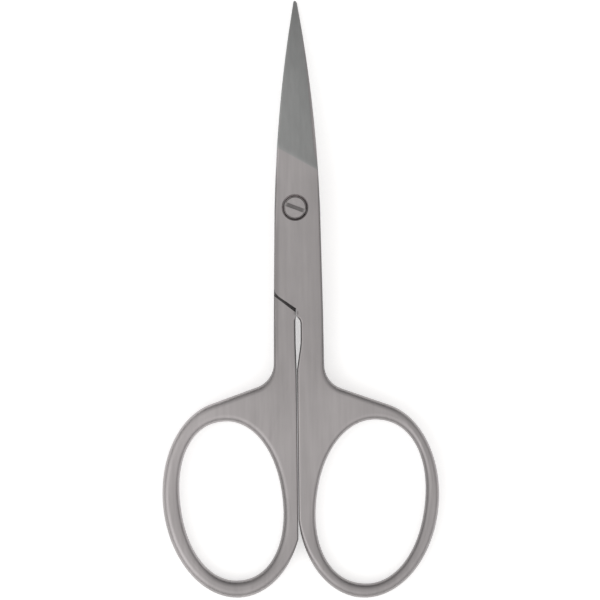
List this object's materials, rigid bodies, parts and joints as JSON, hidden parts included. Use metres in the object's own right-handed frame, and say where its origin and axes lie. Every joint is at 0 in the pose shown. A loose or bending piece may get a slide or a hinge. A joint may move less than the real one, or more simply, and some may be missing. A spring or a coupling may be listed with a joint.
{
  "type": "nail scissors",
  "caption": "Curved nail scissors with lapped halves, a slotted pivot screw and oval finger rings, opening about the screw.",
  "frame": {"origin": "on the pivot's axis, at the flat end of the screw, which is flush with the back of the joint", "axes": "+Y to the tips, +Z along the pivot to the screw's head, +X to the right as seen from the head; the scissors are closed"},
  "size_m": [0.0418, 0.0904, 0.0063],
  "materials": {
    "front_half_steel": "satin, fine lengthwise grain on the ground blade",
    "back_half_steel": "satin, fine lengthwise grain on the ground blade",
    "screw_steel": "turned, brighter than the halves"
  },
  "bodies": {
    "back": {"back_half": "back_half_steel", "pivot_screw": "screw_steel"},
    "front": {"front_half": "front_half_steel"}
  },
  "joints": [
    {"name": "pivot", "type": "hinge", "parent": "back", "child": "front", "pos_m": [0, 0, 0.0014], "axis": [0, 0, 1], "range_deg": [0, 90]}
  ]
}
